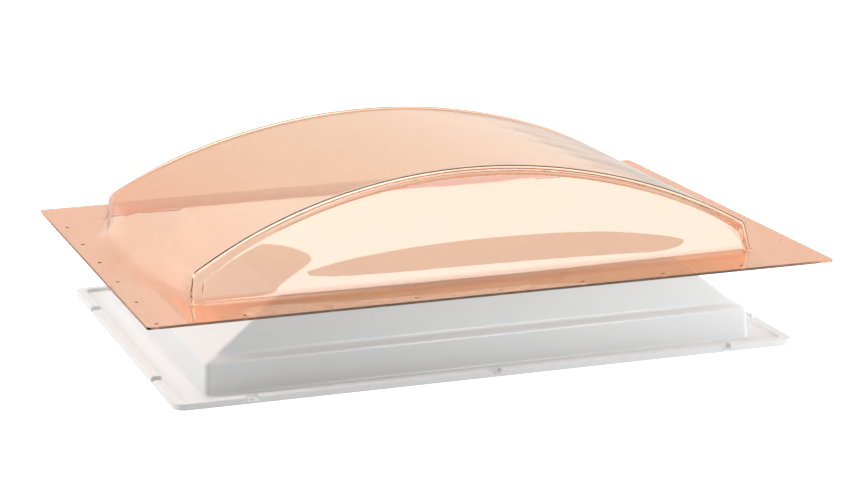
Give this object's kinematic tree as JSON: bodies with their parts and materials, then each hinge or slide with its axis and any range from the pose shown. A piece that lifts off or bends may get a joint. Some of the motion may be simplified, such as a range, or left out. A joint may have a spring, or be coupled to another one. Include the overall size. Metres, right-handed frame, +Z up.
{
  "type": "roof skylight",
  "caption": "Domed roof skylight: a clear tinted outer dome with an arched vault and drilled flange, over a white inner dome with a flat cap, whose flange screws to the ceiling.",
  "frame": {"origin": "under the middle of the ceiling flange, on its flat face", "axes": "+Z up through the roof, +X along the long side"},
  "size_m": [0.864, 0.66, 0.242],
  "materials": {
    "tinted_acrylic": "clear peach-bronze tinted sheet, polished",
    "white_plastic": "formed white sheet, satin"
  },
  "bodies": {
    "root": {"outer_dome": "tinted_acrylic", "inner_dome": "white_plastic"}
  },
  "joints": []
}
